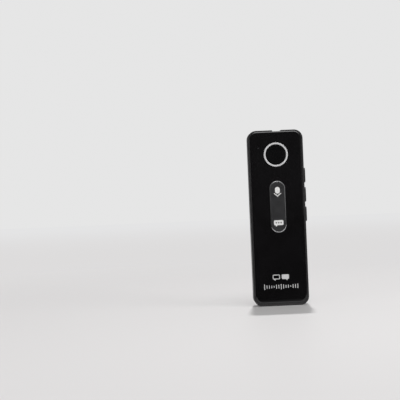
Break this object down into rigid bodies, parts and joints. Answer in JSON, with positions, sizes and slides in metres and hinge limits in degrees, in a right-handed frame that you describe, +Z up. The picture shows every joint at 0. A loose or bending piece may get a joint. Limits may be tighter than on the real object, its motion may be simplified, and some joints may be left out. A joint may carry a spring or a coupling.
{
  "type": "handheld voice translator",
  "caption": "Slim handheld voice translator: glossy front with a ring key and a long raised talk key, side keys, lanyard notch, rear speaker grille and a charging socket.",
  "frame": {"origin": "middle of the flat bottom end, halfway across the width and halfway between the panel's face and the back", "axes": "+Z up along the body's length, -Y out of the front panel, +X to the right of someone facing the front, towards the side keys"},
  "size_m": [0.034, 0.0116, 0.105],
  "materials": {
    "housing": "fine satin moulded",
    "panel": "high gloss",
    "film": "thin adhesive film",
    "ring": "matte light grey",
    "inner_plastic": "moulded",
    "switch": "moulded with a steel cover",
    "plunger": "natural moulded",
    "talk_key": "satin",
    "bright_trim": "polished",
    "side_key": "satin",
    "board": "solder mask",
    "steel": "plain",
    "chip": "moulded",
    "tin": "tinned",
    "ferrite": "sintered",
    "ceramic": "sintered",
    "clear": "clear moulded",
    "rubber": "matte",
    "gold": "plated",
    "pouch": "foil",
    "foam": "open cell",
    "wire": "insulated",
    "magnet": "plated",
    "cone": "moulded paper",
    "mesh": "fine woven",
    "grille": "black anodised"
  },
  "bodies": {
    "case": {"front_housing": "housing", "rear_cover": "housing", "front_panel": "panel", "panel_tape": "film", "ring_trim": "ring", "ring_switch": "switch", "talk_switches": "switch", "side_switches": "switch", "main_board": "board", "board_screws": "steel", "radio_chip": "chip", "radio_shield": "tin", "power_chip": "chip", "memory_chip": "chip", "audio_chip": "chip", "crystal": "tin", "inductors": "ferrite", "passives": "ceramic", "antenna": "ceramic", "status_led": "clear", "light_pipe": "clear", "microphone": "tin", "microphone_boot": "rubber", "usb_shell": "steel", "usb_tongue": "inner_plastic", "usb_contacts": "gold", "battery_cell": "pouch", "battery_guard": "film", "battery_tape": "film", "battery_foam": "foam", "battery_leads": "wire", "battery_plug": "plunger", "speaker_basket": "inner_plastic", "speaker_magnet": "magnet", "speaker_cone": "cone", "speaker_gasket": "foam", "speaker_mesh": "mesh", "speaker_grille": "grille", "speaker_leads": "wire", "lanyard_bar": "steel"},
    "ring_key": {"ring_key_cap": "panel", "ring_key_carrier": "inner_plastic", "ring_switch_plunger": "plunger"},
    "talk_key": {"talk_key_cap": "talk_key", "talk_key_trim": "bright_trim", "talk_key_carrier": "inner_plastic", "talk_switch_plungers": "plunger"},
    "volume_up": {"volume_up_key": "side_key", "volume_up_plunger": "plunger"},
    "play": {"play_key": "side_key", "play_plunger": "plunger"},
    "volume_down": {"volume_down_key": "side_key", "volume_down_plunger": "plunger"}
  },
  "joints": [
    {"name": "ring_key_press", "type": "slide", "parent": "case", "child": "ring_key", "axis": [0, 1, 0], "range_m": [0, 0.00035], "stiffness_N_per_m": 1500, "springref_m": -0.0006},
    {"name": "talk_key_press", "type": "slide", "parent": "case", "child": "talk_key", "axis": [0, 1, 0], "range_m": [0, 0.00035], "stiffness_N_per_m": 1500, "springref_m": -0.0006},
    {"name": "volume_up_press", "type": "slide", "parent": "case", "child": "volume_up", "axis": [-1, 0, 0], "range_m": [0, 0.00035], "stiffness_N_per_m": 1500, "springref_m": -0.0006},
    {"name": "play_press", "type": "slide", "parent": "case", "child": "play", "axis": [-1, 0, 0], "range_m": [0, 0.00035], "stiffness_N_per_m": 1500, "springref_m": -0.0006},
    {"name": "volume_down_press", "type": "slide", "parent": "case", "child": "volume_down", "axis": [-1, 0, 0], "range_m": [0, 0.00035], "stiffness_N_per_m": 1500, "springref_m": -0.0006}
  ]
}
